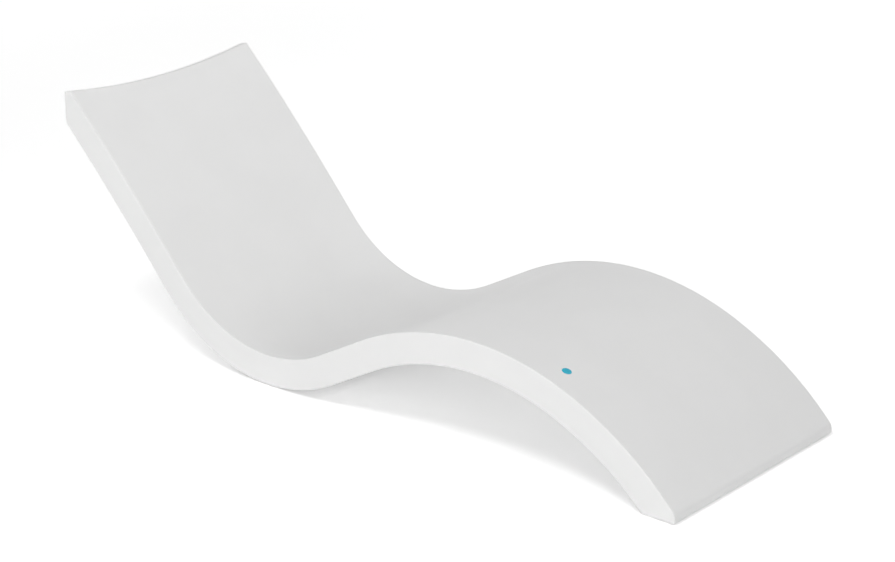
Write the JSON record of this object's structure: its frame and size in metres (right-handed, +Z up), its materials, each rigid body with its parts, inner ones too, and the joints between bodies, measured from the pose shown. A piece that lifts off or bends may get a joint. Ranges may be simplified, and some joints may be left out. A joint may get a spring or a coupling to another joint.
{
  "type": "shallow-water chaise lounger",
  "caption": "Wave-shaped chaise lounger: a hollow white moulding with a dished seat, a knee arch, screwed filler and drain ports, and rubber pads.",
  "frame": {"origin": "on the floor, under the middle of the overall length and width", "axes": "+X from the head end towards the toe, +Y towards the sitter's left, +Z up"},
  "size_m": [1.8304, 0.61, 0.598],
  "materials": {
    "shell_plastic": "neutral white rotationally moulded polyethylene, fine even mould texture, satin-matt",
    "plug_plastic": "light grey injection-moulded polypropylene, satin",
    "brass": "turned brass, moulded in",
    "ring_rubber": "black sealing rubber, smooth",
    "pad_rubber": "dark grey non-marking rubber, matt",
    "stainless": "plain stainless steel",
    "roundel_plastic": "teal polyethylene moulded flush into the skin"
  },
  "bodies": {
    "lounger": {"shell": "shell_plastic", "fill_port_insert": "brass", "drain_port_insert": "brass", "seat_pad_left": "pad_rubber", "seat_pad_right": "pad_rubber", "toe_pad_left": "pad_rubber", "toe_pad_right": "pad_rubber", "pad_screws": "stainless", "pad_anchors": "brass", "roundel": "roundel_plastic"},
    "fill_seal": {"fill_plug_ring": "ring_rubber"},
    "fill_screw": {"fill_plug": "plug_plastic"},
    "drain_seal": {"drain_plug_ring": "ring_rubber"},
    "drain_screw": {"drain_plug": "plug_plastic"}
  },
  "joints": [
    {"name": "fill_plug_travel", "type": "slide", "parent": "lounger", "child": "fill_seal", "axis": [-0.7174, 0, -0.6967], "range_m": [0, 0.0201]},
    {"name": "fill_plug_turn", "type": "hinge", "parent": "fill_seal", "child": "fill_screw", "pos_m": [-0.8382, 0, 0.43631], "axis": [-0.7174, 0, -0.6967], "range_deg": [0, 1800]},
    {"name": "drain_plug_travel", "type": "slide", "parent": "lounger", "child": "drain_seal", "axis": [-0.7377, 0, -0.6752], "range_m": [0, 0.0201]},
    {"name": "drain_plug_turn", "type": "hinge", "parent": "drain_seal", "child": "drain_screw", "pos_m": [-0.57066, 0, 0.14363], "axis": [-0.7377, 0, -0.6752], "range_deg": [0, 1800]}
  ],
  "couplings": [
    {"joint": "fill_plug_travel", "follows": "fill_plug_turn", "m_per_rad": 0.00063662},
    {"joint": "drain_plug_travel", "follows": "drain_plug_turn", "m_per_rad": 0.00063662}
  ]
}
